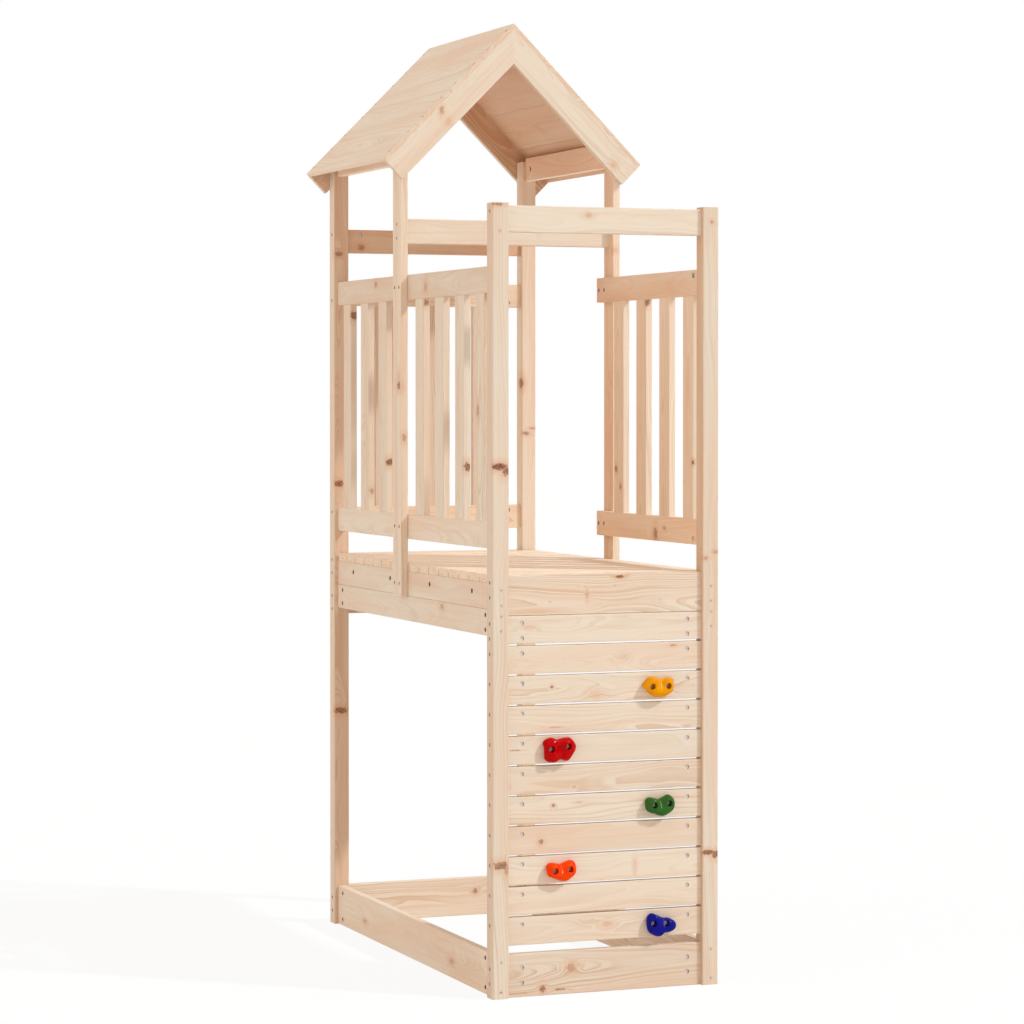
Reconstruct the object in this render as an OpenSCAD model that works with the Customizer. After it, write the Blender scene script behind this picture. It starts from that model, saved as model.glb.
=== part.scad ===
// Wooden climbing frame: a raised deck on four posts, a climbing wall of boards
// with five plastic holds at the front, slatted railings and a small gable roof.
// The wall faces -Y, +X runs to the right along it, +Z is up. Millimetres.

/* [Frame] */
// Width over the outer faces of the corner posts
frame_w = 525; // [480:1:600]
// Depth over the outer faces of the corner posts
frame_d = 1118; // [1080:1:1240]
// Side of the square corner posts
post_w = 37; // [35:1:42]
// Rounding of the long edges of the posts
post_r = 3; // [1:0.5:5]
// Height of the front posts
front_post_h = 1691; // [1680:1:1760]
// Height of the back posts, whose outer edges carry the roof
back_post_h = 1861; // [1830:1:1920]

/* [Boards] */
// Thickness of the frame boards
board_t = 18; // [16:0.5:20]
// Rounding of the long edges of the boards
board_r = 2; // [0.5:0.5:3]
// Height of rails, deck side boards and eave plates
rail_h = 57; // [55:1:60]
// Height of the boards at the foot of the frame
base_h = 93; // [85:1:105]
// Drop of the three top rails below the heads of the front posts
top_rail_drop = 5; // [0:1:20]

/* [Deck] */
// Height of the deck surface
deck_top = 901; // [880:1:940]
// Thickness of the deck planks
deck_plank_t = 18; // [16:0.5:19]
// Width of one deck plank
deck_plank_w = 61; // [55:0.5:64]
// Least gap between two deck planks
deck_gap_least = 3; // [2:0.5:6]
// Height of the fascia boards at both ends of the deck
fascia_h = 87; // [85:1:92]
// Seam between a fascia and the board below it
fascia_gap = 0.5; // [0.5:0.5:3]
// Height of the cleats under the plank ends
cleat_h = 45; // [40:1:50]
// Thickness of the cleats
cleat_t = 27; // [20:1:32]
// Distance between the screws of a cleat
cleat_screw_pitch = 271; // [240:1:290]
// Distance of the two joists from the middle of the deck
joist_x = 128; // [100:1:150]
// Height of the joist screws below the deck surface
joist_screw_drop = 59; // [50:1:65]

/* [Climbing wall] */
// Open joint between two climbing boards
climb_gap = 4.4; // [2:0.1:6]
// Open gap between the lowest climbing board and the foot board
foot_gap = 18; // [10:1:30]
// Place of the holds on the left, from the middle of the wall
hold_left_x = -107; // [-130:1:-80]
// Place of the holds on the right, from the middle of the wall
hold_right_x = 125; // [80:1:130]
// How far a hold stands out from its board
hold_h = 25; // [20:1:32]
// Width of the recess round a hold's bolt head
hold_recess_d = 13; // [12:0.5:14]
// Thickness of plastic under a hold's bolt head
hold_floor = 6; // [5:1:9]

/* [Railings] */
// Clear height between the deck and the lower rails
railing_foot = 55; // [40:1:70]
// Height of the railings above the deck
railing_h = 657; // [600:1:680]
// Width of a slat
slat_w = 55; // [50:1:60]
// Thickness of a slat
slat_t = 16; // [14:0.5:18]
// Distance from slat to slat in the side railings
slat_pitch = 130; // [115:1:135]
// Gap between a corner post and its first slat
slat_edge = 39.5; // [30:0.5:45]
// Number of slats in the back railing
back_slat_n = 3; // [2:1:4]

/* [Roof] */
// Distance of the roof posts behind the front of the frame
roof_post_y = 568; // [560:1:610]
// Width of a roof post
roof_post_w = 54; // [50:1:60]
// Slope of the roof in degrees
roof_pitch = 45; // [40:1:48]
// How far the eaves reach past the corner posts
eave_reach = 54.3; // [45:0.1:65]
// Thickness of the roof boards
roof_board_t = 10; // [8:0.5:12]
// Number of roof boards on a slope
roof_board_n = 4; // [3:1:5]
// Fine joint between two roof boards
roof_joint = 0.6; // [0.3:0.1:1.5]
// Bevel along the upper edges of the roof boards
roof_bevel = 1.2; // [0.5:0.1:2]
// Width of the barge boards
barge_w = 55; // [50:1:60]
// Thickness of the barge boards
barge_t = 15; // [13:0.5:18]

/* [Fasteners] */
// Shank of the frame bolts
bolt_d = 6; // [5:0.5:7]
// Head of the frame bolts
bolt_head_d = 8; // [8:0.5:11]
// Height of a bolt head
bolt_head_h = 4; // [3:0.5:5]
// Distance between two drillings in the end of a board
drill_pitch = 32; // [30:1:34]
// Diameter of the barrel nuts
nut_d = 10; // [9:0.5:12]
// Distance of the barrel nuts from the end of their board
nut_in = 33; // [26:1:40]
// Depth of the barrel nuts below the face of their board
nut_sink = 2.5; // [1:0.5:3]
// Wood left behind a barrel nut
nut_skin = 4; // [3:0.5:5]
// Diameter of the wooden dowels
dowel_d = 8; // [6:0.5:10]
// Length of the wooden dowels
dowel_l = 34; // [28:1:36]
// Shank of the wood screws
screw_d = 3.5; // [3:0.5:4.5]
// Head of the wood screws
screw_head_d = 7; // [6:0.5:8]
// Play round every fastener
play = 0.2; // [0.1:0.05:0.3]

/* [Hidden] */
$fn = 32;
PINE = "#E8CFAB";
PINE_SHADE = "#D9B48C";
ZINC = "#A9A9AD";
YELLOW = "#FDB008";
RED = "#C70006";
GREEN = "#2C6A2A";
ORANGE = "#FF5006";
BLUE = "#191C94";

// Places across, along and up the frame
half_w = frame_w / 2;
post_x = half_w - post_w / 2;
front_y = post_w / 2;
back_y = frame_d - post_w / 2;
board_set = (post_w - board_t) / 2;
clear_w = frame_w - 2 * post_w;
clear_d = frame_d - 2 * post_w;
middle_y = frame_d / 2;
side_face_x = half_w - board_set;
top_rail_z = front_post_h - top_rail_drop - rail_h;

// Deck and wall heights
beam_top = deck_top - deck_plank_t;
beam_upper_z = beam_top - rail_h;
beam_lower_z = beam_upper_z - rail_h;
fascia_z = deck_top - fascia_h;
wall_top = fascia_z - fascia_gap;
climb_n = 11;
climb_h = (wall_top - base_h - foot_gap - (climb_n - 1) * climb_gap) / climb_n;
climb_pitch = climb_h + climb_gap;
deck_plank_n = floor((clear_d - deck_gap_least) / (deck_plank_w + deck_gap_least));
deck_gap = (clear_d - deck_plank_n * deck_plank_w) / (deck_plank_n + 1);
cleat_end = 2;

// Railing heights
rail_low_z = deck_top + railing_foot;
rail_high_z = deck_top + railing_h - rail_h;
slat_z = rail_low_z + rail_h;
slat_h = rail_high_z - slat_z;
slats_from = post_w + slat_edge + slat_w;
side_slat_n = 1 + floor((roof_post_y - slats_from) / slat_pitch);
rear_slat_n = 1 + floor((frame_d - roof_post_y - roof_post_w - slats_from) / slat_pitch);

// Roof: the underside of the boards lies on the outer edges of the back posts
ridge_z = back_post_h + half_w * tan(roof_pitch) + roof_board_t / cos(roof_pitch);
slope_l = (half_w + eave_reach) / cos(roof_pitch);
roof_board_w = slope_l / roof_board_n;
roof_front_y = roof_post_y - barge_t;
roof_back_y = frame_d + barge_t;
roof_post_x = side_face_x + board_t / 2;
roof_post_foot = beam_upper_z;
roof_post_top = back_post_h - (side_face_x + board_t - half_w) * tan(roof_pitch);
roof_post_mid_y = roof_post_y + roof_post_w / 2;
roof_post_end_y = roof_post_y + roof_post_w;
eave_top = back_post_h + board_set * tan(roof_pitch);
eave_z = eave_top - rail_h;
roof_screw_spread = roof_board_w * 0.29;

// Drillings: bolts hang from the edges of the boards, so the rows of two
// directions pass each other inside a post
half_pitch = drill_pitch / 2;
bolt_drop = drill_pitch / 2;
side_base_spread = base_h * 0.34;
bolt_past_nut = 7;
bolt_sink = 0.5;
socket_deep = 2;
roof_bolt_spread = 15.5;
dowel_slack = 1;
screw_head_h = 2.2;
screw_tip = 4;
cross_deep = 1;
recess_d = 11.5;
recess_deep = 8;
pocket_in = 34;
deck_screw_l = 36;
roof_screw_l = 18;
post_screw_l = 55;
joist_screw_l = 50;
pocket_screw_l = 40;
eave_screw_l = 45;
barge_screw_l = 40;
barge_screw_spread = 12;
cut = 0.5;

// The origin lies under the middle of the whole outline
front_reach = hold_h - board_set;
origin_y = (roof_back_y - front_reach) / 2;

// Holds: outline points round the middle of each hold (x to the right, z up)
// and the places of its two bolts
HOLD_YELLOW = [[-36, 4], [-22, 21], [-8, 22], [8, 17], [21, 20], [34, 18],
    [36, 2], [33, -10], [17, -20], [-2, -22], [-19, -15], [-28, -4]];
HOLD_RED = [[-37, 18], [-21, 26], [-6, 22], [12, 25], [26, 23], [37, 6],
    [29, -12], [17, -25], [0, -22], [-15, -28], [-33, -22], [-35, 0]];
HOLD_GREEN = [[-34, 8], [-28, 18], [-14, 17], [-3, 14], [10, 19], [21, 23],
    [32, 13], [33, -5], [21, -17], [4, -23], [-13, -18], [-29, -11]];
HOLD_ORANGE = [[-34, 9], [-26, 18], [-13, 17], [-3, 15], [12, 20], [24, 22],
    [32, 14], [33, -5], [19, -18], [4, -23], [-14, -17], [-29, -10]];
HOLD_BLUE = [[-34, 14], [-25, 25], [-12, 22], [3, 15], [19, 13], [32, 4],
    [32, -9], [19, -17], [4, -19], [-6, -26], [-21, -22], [-32, -10]];
YELLOW_BOLTS = [[-17.5, 2.5], [20, 2.5]];
RED_BOLTS = [[-22.5, 1.5], [15.5, 6]];
GREEN_BOLTS = [[-17, 2], [17, 5]];
ORANGE_BOLTS = [[-17.5, 1], [16.5, 3.5]];
BLUE_BOLTS = [[-22.5, 4], [7.5, 3]];
// The board each hold sits on, and how far it is moved from its column and the board's middle
HOLD_ROWS = [2, 4, 6, 8, 10];
HOLD_SHIFTS = [[-5, -2.5], [-1.5, 0], [0, -2], [2, -3], [4, -3]];

// Rows of boards between two posts: [bottom, height, bolt heights, dowel heights, nut side],
// where nut side -1 opens the barrel nuts to the front or outside and 1 to the inside
function climb_z(i) = wall_top - climb_h - i * climb_pitch;
function hung(top, n) = top - bolt_drop - n * drill_pitch;
BASE_FRONT = [0, base_h, [base_h / 2 - half_pitch, base_h / 2 + half_pitch], [], -1];
BASE_BACK = [0, base_h, [base_h / 2 - half_pitch, base_h / 2 + half_pitch], [], 1];
FASCIA = [fascia_z, fascia_h, [hung(deck_top, 0), hung(deck_top, 1)], [], 1];
WALL_FIRST = [climb_z(0), climb_h, [hung(wall_top, 0), hung(wall_top, 1)], [], -1];
TOP_RAIL = [top_rail_z, rail_h, [top_rail_z + rail_h / 2 + half_pitch],
    [top_rail_z + rail_h / 2 - half_pitch], 1];
function wall_row(i) = let (top = climb_z(i) + climb_h)
    i == 0 ? WALL_FIRST : [climb_z(i), climb_h, [hung(top, 0)], [hung(top, 1)], -1];
WALL_ROWS = [for (i = [0:climb_n - 1]) wall_row(i)];
FRONT_ROWS = concat([BASE_FRONT, FASCIA, TOP_RAIL], WALL_ROWS);
function rail_row(z, side) = [z, rail_h, [z + rail_h / 2 + side * half_pitch],
    [z + rail_h / 2 - side * half_pitch], 1];
BACK_RAIL_LOW = rail_row(rail_low_z, 1);
BACK_RAIL_HIGH = rail_row(rail_high_z, -1);
BACK_ROWS = [BASE_BACK, FASCIA, WALL_FIRST, TOP_RAIL, BACK_RAIL_LOW, BACK_RAIL_HIGH];

// Side boards run from front post to back post, with bolts in the same form
SIDE_BASE = [0, base_h, [base_h / 2 - side_base_spread, base_h / 2 + side_base_spread], [], -1];
SIDE_UPPER = [beam_upper_z, rail_h,
    [hung(deck_top, 0) - half_pitch, hung(deck_top, 1) - half_pitch], [], 1];
SIDE_LOWER = [beam_lower_z, rail_h,
    [hung(wall_top, 0) + half_pitch, hung(wall_top, 1) + half_pitch], [], -1];
SIDE_ROWS = [SIDE_BASE, SIDE_UPPER, SIDE_LOWER];
EAVE_ROW = [eave_z, rail_h, [eave_z + rail_h / 2], [], 1];

// Points shared by fasteners and by the holes for them
POCKETS_Z = [rail_low_z + rail_h / 2 - half_pitch, rail_high_z + rail_h / 2 + half_pitch];
ROOF_BOLTS = [for (z = [rail_low_z + rail_h / 2, rail_high_z + rail_h / 2, beam_upper_z + rail_h / 2])
    for (s = [-1, 1]) [roof_post_mid_y + s * roof_bolt_spread, z]];
CROSS_SCREWS_Z = [top_rail_z + rail_h / 2 - half_pitch, top_rail_z + rail_h / 2 + half_pitch];
CLEAT_SCREWS_Y = [for (k = [-1.5:1:1.5]) middle_y + k * cleat_screw_pitch];
cleat_z = beam_top - cleat_h;
joist_screw_z = deck_top - joist_screw_drop;
barge_mid_z = ridge_z - (roof_board_t + barge_w / 2) / cos(roof_pitch)
    - post_x * tan(roof_pitch);
BARGE_SCREWS_Z = [barge_mid_z - barge_screw_spread, barge_mid_z + barge_screw_spread];
SIDE_SLATS_Y = [for (k = [0:side_slat_n - 1]) post_w + slat_edge + slat_w / 2 + k * slat_pitch];
REAR_SLATS_Y = [for (k = [0:rear_slat_n - 1])
    frame_d - post_w - slat_edge - slat_w / 2 - k * slat_pitch];
back_slat_gap = (clear_w - back_slat_n * slat_w) / (back_slat_n + 1);
BACK_SLATS_X = [for (k = [0:back_slat_n - 1])
    -clear_w / 2 + back_slat_gap + slat_w / 2 + k * (back_slat_gap + slat_w)];
function plank_y(i) = post_w + deck_gap + deck_plank_w / 2 + i * (deck_plank_w + deck_gap);
function hold_x(i) = (i % 2 == 0 ? hold_right_x : hold_left_x) + HOLD_SHIFTS[i][0];
function hold_z(i) = climb_z(HOLD_ROWS[i]) + climb_h / 2 + HOLD_SHIFTS[i][1];
HOLD_BOLTS = [YELLOW_BOLTS, RED_BOLTS, GREEN_BOLTS, ORANGE_BOLTS, BLUE_BOLTS];

// Frames of reference
module stand() {
    translate([0, -origin_y, 0]) children();
}

module mirrored(side) {
    mirror([side < 0 ? 1 : 0, 0, 0]) children();
}

// On a slope, x runs down from the ridge and z out of the roof
module slope(side) {
    mirrored(side) translate([0, 0, ridge_z]) rotate([0, roof_pitch, 0]) children();
}

// Points an axis along z into the frame: from the left or right, front or back, or above
module from_side(side) {
    rotate([0, -side * 90, 0]) children();
}

module from_front() {
    rotate([-90, 0, 0]) children();
}

module from_back() {
    rotate([90, 0, 0]) children();
}

module from_above() {
    rotate([180, 0, 0]) children();
}

// Timber with eased long edges
module round_rect(w, h, r) {
    square([w - 2 * r, h], center = true);
    square([w, h - 2 * r], center = true);
    for (x = [-1, 1], y = [-1, 1]) translate([x * (w / 2 - r), y * (h / 2 - r)]) circle(r);
}

module bar_x(l, t, h, r = board_r) {
    rotate([90, 0, 90]) linear_extrude(l, center = true) round_rect(t, h, r);
}

module bar_y(l, t, h, r = board_r) {
    rotate([90, 0, 0]) linear_extrude(l, center = true) round_rect(t, h, r);
}

module bar_z(l, w, d, r = board_r) {
    linear_extrude(l) round_rect(w, d, r);
}

module along_y(y0, y1) {
    translate([0, y1, 0]) rotate([90, 0, 0]) linear_extrude(y1 - y0) children();
}

// Fasteners, each with its head at z = 0 and its shank along +z
module bolt(l, head_d = bolt_head_d, head_h = bolt_head_h) {
    difference() {
        turned([[0, 0], [head_d / 2, 0], [head_d / 2, head_h], [bolt_d / 2, head_h],
            [bolt_d / 2, l], [0, l]]);
        hex_socket(head_d);
    }
}

// A round piece or bore from its half outline: [radius, place along the axis]
module turned(half_outline) {
    rotate_extrude() polygon(half_outline);
}

module hex_socket(head_d) {
    translate([0, 0, -cut]) cylinder(h = socket_deep + cut, d = head_d * 0.5, $fn = 6);
}

module bolt_hole(l) {
    translate([0, 0, -bolt_sink - cut])
        cylinder(h = bolt_sink + cut + bolt_head_h, d = bolt_head_d + 2 * play);
    cylinder(h = l, d = bolt_d + 2 * play);
}

module screw(l) {
    difference() {
        turned([[0, 0], [screw_head_d / 2, 0], [screw_d / 2, screw_head_h],
            [screw_d / 2, l - screw_tip], [screw_d / 8, l], [0, l]]);
        for (a = [0, 90]) rotate([0, 0, a])
            cube([screw_head_d * 0.6, screw_head_d * 0.14, 2 * cross_deep], center = true);
    }
}

module screw_hole(l) {
    head_r = screw_head_d / 2 + play;
    shank_r = screw_d / 2 + play;
    turned([[0, -cut], [head_r, -cut], [head_r, play], [shank_r, screw_head_h + play],
        [shank_r, l + play], [0, l + play]]);
}

module dowel_hole() {
    cylinder(h = dowel_l + dowel_slack, d = dowel_d + 2 * play, center = true);
}

// Ends of a row of boards between the left and right posts
bolt_l_x = post_w - bolt_sink + nut_in + bolt_past_nut;
nut_l = board_t - nut_skin - nut_sink - play;

module row_bolt_places(row, y) {
    for (s = [-1, 1], z = row[2])
        translate([s * (half_w - bolt_sink), y, z]) from_side(s) children();
}

module row_nut_places(row, y, outward) {
    for (s = [-1, 1], z = row[2])
        translate([s * (clear_w / 2 - nut_in), y + row[4] * outward * board_t / 2, z])
            rotate([row[4] * outward * 90, 0, 0]) children();
}

module row_dowel_places(row, y) {
    for (s = [-1, 1], z = row[3]) translate([s * clear_w / 2, y, z]) from_side(s) children();
}

module row_holes(row, y, outward) {
    row_bolt_places(row, y) bolt_hole(bolt_l_x + play);
    row_nut_places(row, y, outward) nut_hole();
    row_dowel_places(row, y) dowel_hole();
}

module nut_hole() {
    translate([0, 0, -cut]) cylinder(h = board_t - nut_skin + cut, d = nut_d + 2 * play);
}

module nut() {
    translate([0, 0, nut_sink]) difference() {
        cylinder(h = nut_l, d = nut_d);
        translate([0, 0, board_t / 2 - nut_sink]) rotate([0, 90, 0])
            cylinder(h = 2 * nut_d, d = bolt_d + 2 * play, center = true);
        cube([nut_d + 2 * cut, nut_d * 0.14, 2 * cross_deep], center = true);
    }
}

// Ends of a row of boards between the front and back posts
module side_bolt_places(row, ends) {
    for (s = [-1, 1], e = ends, z = row[2])
        translate([s * post_x, e < 0 ? bolt_sink : frame_d - bolt_sink, z])
            rotate([e * 90, 0, 0]) children();
}

module side_nut_places(row, ends) {
    for (s = [-1, 1], e = ends, z = row[2])
        translate([s * (post_x - row[4] * board_t / 2),
                e < 0 ? post_w + nut_in : frame_d - post_w - nut_in, z])
            from_side(-s * row[4]) rotate([0, 0, 90]) children();
}

BOTH = [-1, 1];
REAR = [1];

module side_holes(row, ends) {
    side_bolt_places(row, ends) bolt_hole(bolt_l_x + play);
    side_nut_places(row, ends) nut_hole();
}

// Other fastener places
module roof_bolt_places() {
    for (s = [-1, 1], p = ROOF_BOLTS)
        translate([s * (side_face_x + board_t - bolt_sink), p[0], p[1]]) from_side(s) children();
}

roof_bolt_l = 2 * board_t - nut_skin - bolt_sink;
roof_nut_h = recess_deep - bolt_sink;

module roof_bolt_holes() {
    roof_bolt_places() {
        bolt_hole(2 * board_t);
    }
    roof_nut_places() translate([0, 0, -cut]) cylinder(h = recess_deep + cut, d = nut_d + 2 * play);
}

module roof_nut_places() {
    for (s = [-1, 1], p = ROOF_BOLTS)
        translate([s * (side_face_x - board_t), p[0], p[1]]) from_side(-s) children();
}

module cross_screw_places() {
    for (s = [-1, 1], z = CROSS_SCREWS_Z)
        translate([s * (side_face_x + board_t), roof_post_mid_y, z]) from_side(s) children();
}

module cleat_screw_places() {
    for (s = [-1, 1], y = CLEAT_SCREWS_Y)
        translate([s * (side_face_x - recess_deep), y, cleat_z + cleat_h / 2]) from_side(s) children();
}

cleat_screw_l = board_t - recess_deep + cleat_t - nut_skin;

module cleat_screw_holes() {
    cleat_screw_places() {
        screw_hole(cleat_screw_l);
        translate([0, 0, -recess_deep - cut]) cylinder(h = recess_deep + cut, d = recess_d);
    }
}

module joist_screw_places() {
    for (s = [-1, 1]) {
        translate([s * joist_x, board_set, joist_screw_z]) from_front() children();
        translate([s * joist_x, frame_d - board_set, joist_screw_z]) from_back() children();
    }
}

module deck_screw_places() {
    for (s = [-1, 1], i = [0:deck_plank_n - 1])
        translate([s * (side_face_x - board_t - cleat_t / 2), plank_y(i), deck_top])
            from_above() children();
}

module roof_screw_places() {
    for (s = [-1, 1]) slope(s) for (i = [0:roof_board_n - 1], d = [-1, 1])
        for (y = [roof_front_y + barge_t / 2, roof_back_y - barge_t / 2])
            translate([(i + 0.5) * roof_board_w + d * roof_screw_spread, y, 0])
                from_above() children();
}

module eave_screw_places() {
    for (s = [-1, 1])
        translate([s * post_x, roof_front_y, eave_z + rail_h / 2]) from_front() children();
}

module barge_screw_places() {
    for (s = [-1, 1], z = BARGE_SCREWS_Z)
        translate([s * post_x, roof_back_y, z]) from_back() children();
}

// Slanted screws in pockets on the inner faces of the side rails
pocket_turn = atan((board_t / 2) / pocket_in);

module pocket_places() {
    for (z = POCKETS_Z) {
        for (s = [-1, 1])
            translate([s * (side_face_x - board_t), post_w + pocket_in, z])
                rotate([90, 0, s * pocket_turn]) children();
        translate([board_t - side_face_x, frame_d - post_w - pocket_in, z])
            rotate([-90, 0, pocket_turn]) children();
    }
}

pocket_sink = 6;

module pocket_holes() {
    pocket_places() {
        translate([0, 0, pocket_sink]) screw_hole(pocket_screw_l);
        translate([0, 0, -recess_deep]) cylinder(h = recess_deep + pocket_sink, d = recess_d);
    }
}

module hold_bolt_places() {
    for (i = [0:len(HOLD_ROWS) - 1], p = HOLD_BOLTS[i])
        translate([hold_x(i) + p[0], board_set - hold_floor, hold_z(i) + p[1]])
            from_front() children();
}

hold_nut_h = 3;
hold_nut_d = 15;
hold_bolt_head_h = 4;
hold_bolt_head_d = 9;
hold_bolt_short = 1;
hold_bolt_l = hold_bolt_head_h + hold_floor + board_t - hold_bolt_short;

module hold_bolt_holes() {
    hold_bolt_places() cylinder(h = hold_floor + board_t + cut, d = bolt_d + 2 * play);
    hold_nut_places() translate([0, 0, -cut]) cylinder(h = hold_nut_h + cut, d = hold_nut_d + 2 * play);
}

module hold_nut_places() {
    for (i = [0:len(HOLD_ROWS) - 1], p = HOLD_BOLTS[i])
        translate([hold_x(i) + p[0], board_set + board_t, hold_z(i) + p[1]]) from_back() children();
}

module slat_dowel_places(x, y) {
    for (z = [slat_z, slat_z + slat_h]) translate([x, y, z]) children();
}

module side_slat_dowels(side) {
    for (y = slats_y(side)) slat_dowel_places(side * post_x, y) children();
}

module back_slat_dowels() {
    for (x = BACK_SLATS_X) slat_dowel_places(x, back_y) children();
}

function slats_y(side) = side < 0 ? concat(SIDE_SLATS_Y, REAR_SLATS_Y) : SIDE_SLATS_Y;

// Corner posts
module front_post(side) {
    color(PINE) stand() difference() {
        translate([side * post_x, front_y, 0]) bar_z(front_post_h, post_w, post_w, post_r);
        for (row = FRONT_ROWS) {
            row_bolt_places(row, front_y) bolt_hole(bolt_l_x + play);
            row_dowel_places(row, front_y) dowel_hole();
        }
        for (row = SIDE_ROWS) side_bolt_places(row, BOTH) bolt_hole(bolt_l_x + play);
        pocket_holes();
    }
}

module back_post(side) {
    color(PINE) stand() difference() {
        translate([side * post_x, back_y, 0]) bar_z(back_post_h, post_w, post_w, post_r);
        for (row = BACK_ROWS) {
            row_bolt_places(row, back_y) bolt_hole(bolt_l_x + play);
            row_dowel_places(row, back_y) dowel_hole();
        }
        for (row = SIDE_ROWS) side_bolt_places(row, BOTH) bolt_hole(bolt_l_x + play);
        side_bolt_places(EAVE_ROW, REAR) bolt_hole(bolt_l_x + play);
        barge_screw_places() screw_hole(barge_screw_l);
        pocket_holes();
    }
}

module post_front_left() {
    front_post(-1);
}

module post_front_right() {
    front_post(1);
}

module post_back_left() {
    back_post(-1);
}

module post_back_right() {
    back_post(1);
}

// Roof posts: boards on edge, bolted to the outside of the railings and deck
module roof_post(side) {
    color(PINE) stand() difference() {
        translate([side * roof_post_x, roof_post_mid_y, roof_post_foot])
            bar_z(roof_post_top - roof_post_foot, board_t, roof_post_w);
        roof_bolt_holes();
        cross_screw_places() screw_hole(post_screw_l);
    }
}

module roof_post_left() {
    roof_post(-1);
}

module roof_post_right() {
    roof_post(1);
}

// Boards between the posts
module row_board(row, y, outward) {
    difference() {
        translate([0, y, row[0] + row[1] / 2]) bar_x(clear_w, board_t, row[1]);
        row_holes(row, y, outward);
    }
}

module side_board(side, row) {
    difference() {
        translate([side * post_x, middle_y, row[0] + row[1] / 2]) bar_y(clear_d, board_t, row[1]);
        side_holes(row, BOTH);
    }
}

module base_board_front() {
    color(PINE) stand() row_board(BASE_FRONT, front_y, 1);
}

module base_rail_back() {
    color(PINE) stand() row_board(BASE_BACK, back_y, -1);
}

module base_rail_left() {
    color(PINE_SHADE) stand() side_board(-1, SIDE_BASE);
}

module base_rail_right() {
    color(PINE_SHADE) stand() side_board(1, SIDE_BASE);
}

module deck_beam_upper(side) {
    color(PINE_SHADE) stand() difference() {
        side_board(side, SIDE_UPPER);
        roof_bolt_holes();
        cleat_screw_holes();
    }
}

module deck_beam_upper_left() {
    deck_beam_upper(-1);
}

module deck_beam_upper_right() {
    deck_beam_upper(1);
}

module deck_beam_lower_left() {
    color(PINE_SHADE) stand() side_board(-1, SIDE_LOWER);
}

module deck_beam_lower_right() {
    color(PINE_SHADE) stand() side_board(1, SIDE_LOWER);
}

module deck_fascia_front() {
    color(PINE) stand() difference() {
        row_board(FASCIA, front_y, 1);
        joist_screw_places() screw_hole(joist_screw_l);
    }
}

module deck_fascia_back() {
    color(PINE) stand() difference() {
        row_board(FASCIA, back_y, -1);
        joist_screw_places() screw_hole(joist_screw_l);
    }
}

module deck_board_back() {
    color(PINE) stand() row_board(WALL_FIRST, back_y, -1);
}

// Cleats inside the side boards and two joists between the fascias
module deck_bearers() {
    joist_l = frame_d - 2 * board_set - 2 * board_t;
    color(PINE_SHADE) stand() difference() {
        for (s = [-1, 1]) {
            translate([s * (side_face_x - board_t - cleat_t / 2), middle_y, cleat_z + cleat_h / 2])
                bar_y(clear_d - 2 * cleat_end, cleat_t, cleat_h);
            translate([s * joist_x, middle_y, beam_upper_z + rail_h / 2])
                bar_y(joist_l, board_t, rail_h);
        }
        cleat_screw_holes();
        deck_screw_places() screw_hole(deck_screw_l);
        joist_screw_places() screw_hole(joist_screw_l);
    }
}

module deck_planks() {
    color(PINE) stand() difference() {
        for (i = [0:deck_plank_n - 1])
            translate([0, plank_y(i), deck_top - deck_plank_t / 2])
                bar_x(2 * side_face_x, deck_plank_w, deck_plank_t);
        deck_screw_places() screw_hole(deck_screw_l);
    }
}

// Climbing wall
module climbing_board(i) {
    color(PINE) stand() difference() {
        row_board(WALL_ROWS[i], front_y, 1);
        hold_bolt_holes();
    }
}

// Top rails: between the front posts, the roof posts and the back posts
module top_rail_front() {
    color(PINE) stand() row_board(TOP_RAIL, front_y, 1);
}

module top_rail_roof() {
    color(PINE) stand() difference() {
        translate([0, roof_post_mid_y, top_rail_z + rail_h / 2])
            bar_x(2 * side_face_x, board_t, rail_h);
        cross_screw_places() screw_hole(post_screw_l);
    }
}

module top_rail_back() {
    color(PINE) stand() row_board(TOP_RAIL, back_y, -1);
}

// Railings: two rails with slats between them
module side_rail(side, z, end_y) {
    color(PINE_SHADE) stand() difference() {
        translate([side * post_x, (post_w + end_y) / 2, z + rail_h / 2])
            bar_y(end_y - post_w, board_t, rail_h);
        side_slat_dowels(side) dowel_hole();
        roof_bolt_holes();
        pocket_holes();
    }
}

module side_slats(side) {
    color(PINE) stand() difference() {
        for (y = slats_y(side)) translate([side * post_x, y, slat_z]) bar_z(slat_h, slat_t, slat_w);
        side_slat_dowels(side) dowel_hole();
    }
}

module back_rail(row) {
    color(PINE) stand() difference() {
        row_board(row, back_y, -1);
        back_slat_dowels() dowel_hole();
    }
}

module railing_left_top_rail() {
    side_rail(-1, rail_high_z, frame_d - post_w);
}

module railing_left_bottom_rail() {
    side_rail(-1, rail_low_z, frame_d - post_w);
}

module railing_left_slats() {
    side_slats(-1);
}

module railing_right_top_rail() {
    side_rail(1, rail_high_z, roof_post_end_y);
}

module railing_right_bottom_rail() {
    side_rail(1, rail_low_z, roof_post_end_y);
}

module railing_right_slats() {
    side_slats(1);
}

module railing_back_top_rail() {
    back_rail(BACK_RAIL_HIGH);
}

module railing_back_bottom_rail() {
    back_rail(BACK_RAIL_LOW);
}

module railing_back_slats() {
    color(PINE) stand() difference() {
        for (x = BACK_SLATS_X) translate([x, back_y, slat_z]) bar_z(slat_h, slat_w, slat_t);
        back_slat_dowels() dowel_hole();
    }
}

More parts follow.
